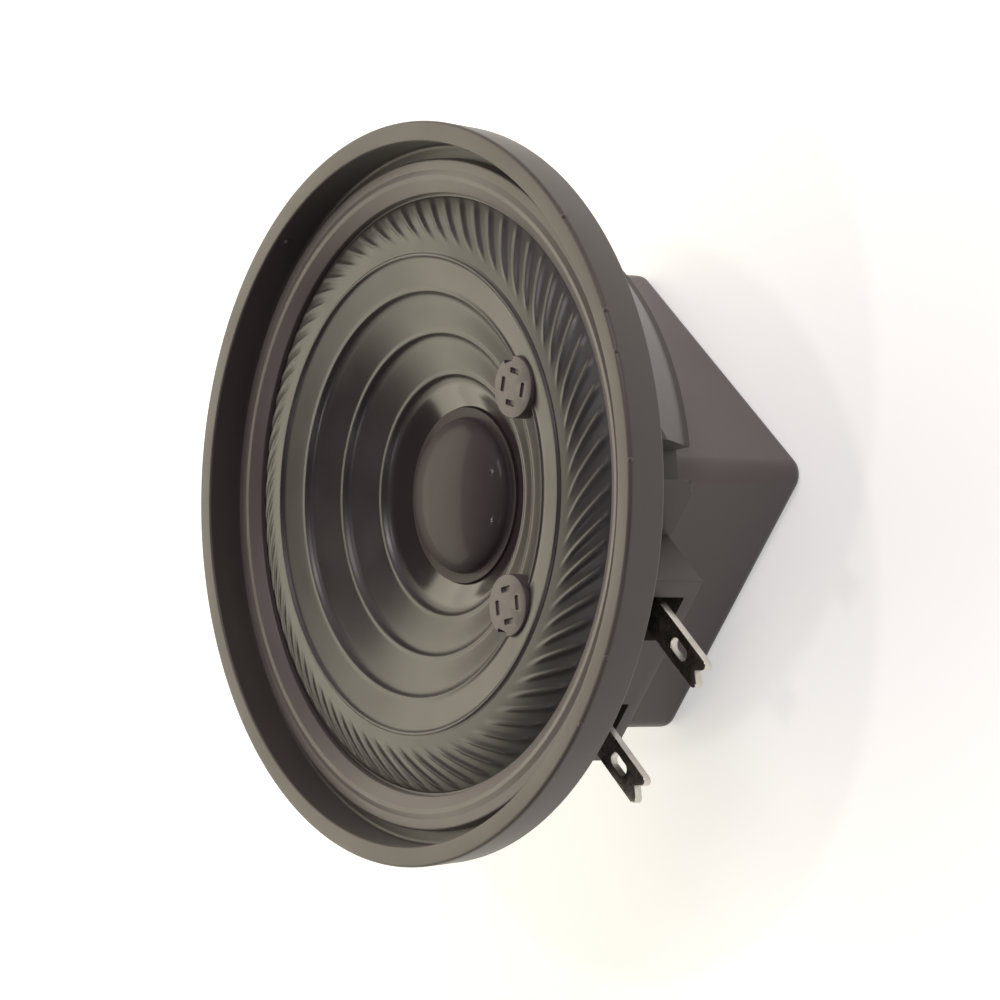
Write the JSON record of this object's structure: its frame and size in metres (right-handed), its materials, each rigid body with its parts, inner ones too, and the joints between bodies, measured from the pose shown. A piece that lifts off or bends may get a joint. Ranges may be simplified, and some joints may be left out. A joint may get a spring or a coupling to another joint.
{
  "type": "weatherproof loudspeaker",
  "caption": "Small round loudspeaker with a pleated surround, a stepped cone, a flat-sided terminal block with forked solder lugs, and a square magnet cover it stands on.",
  "frame": {"origin": "centre of the magnet cover's flat rear face", "axes": "+Z the way the cone faces, -Y the way the solder lugs point, the cover's sides parallel to X and Y"},
  "size_m": [0.066, 0.066, 0.029],
  "materials": {
    "basket_plastic": "satin charcoal moulded plastic",
    "ring_plastic": "satin charcoal moulded plastic",
    "film": "semi-gloss dark formed film",
    "adhesive": "cured clear amber adhesive",
    "former": "amber film former",
    "copper": "enamelled and braided copper",
    "cloth": "resin-treated woven cloth",
    "zinc_steel": "zinc-plated steel",
    "ferrite": "matt black ceramic",
    "seal_rubber": "matt black elastomer",
    "tin": "satin tin-plated metal"
  },
  "bodies": {
    "driver_frame": {"basket": "basket_plastic", "clamp_ring": "ring_plastic", "surround": "film", "spider": "cloth", "front_plate": "zinc_steel", "magnet": "ferrite", "yoke_plate": "zinc_steel", "pole_piece": "zinc_steel", "magnet_cover": "basket_plastic", "cover_seal": "seal_rubber", "lug_right": "tin", "lug_left": "tin", "terminal_sealant": "seal_rubber", "solder_joints": "tin", "lead_right": "copper", "lead_left": "copper"},
    "cone_assembly": {"cone": "film", "dust_cap": "film", "lead_pad_right": "film", "lead_pad_left": "film", "neck_adhesive": "adhesive", "coil_former": "former", "voice_coil": "copper"}
  },
  "joints": [
    {"name": "cone_travel", "type": "slide", "parent": "driver_frame", "child": "cone_assembly", "axis": [0, 0, 1], "range_m": [-0.001, 0.001], "stiffness_N_per_m": 1500, "deforming": ["surround", "spider", "lead_right", "lead_left"]}
  ]
}
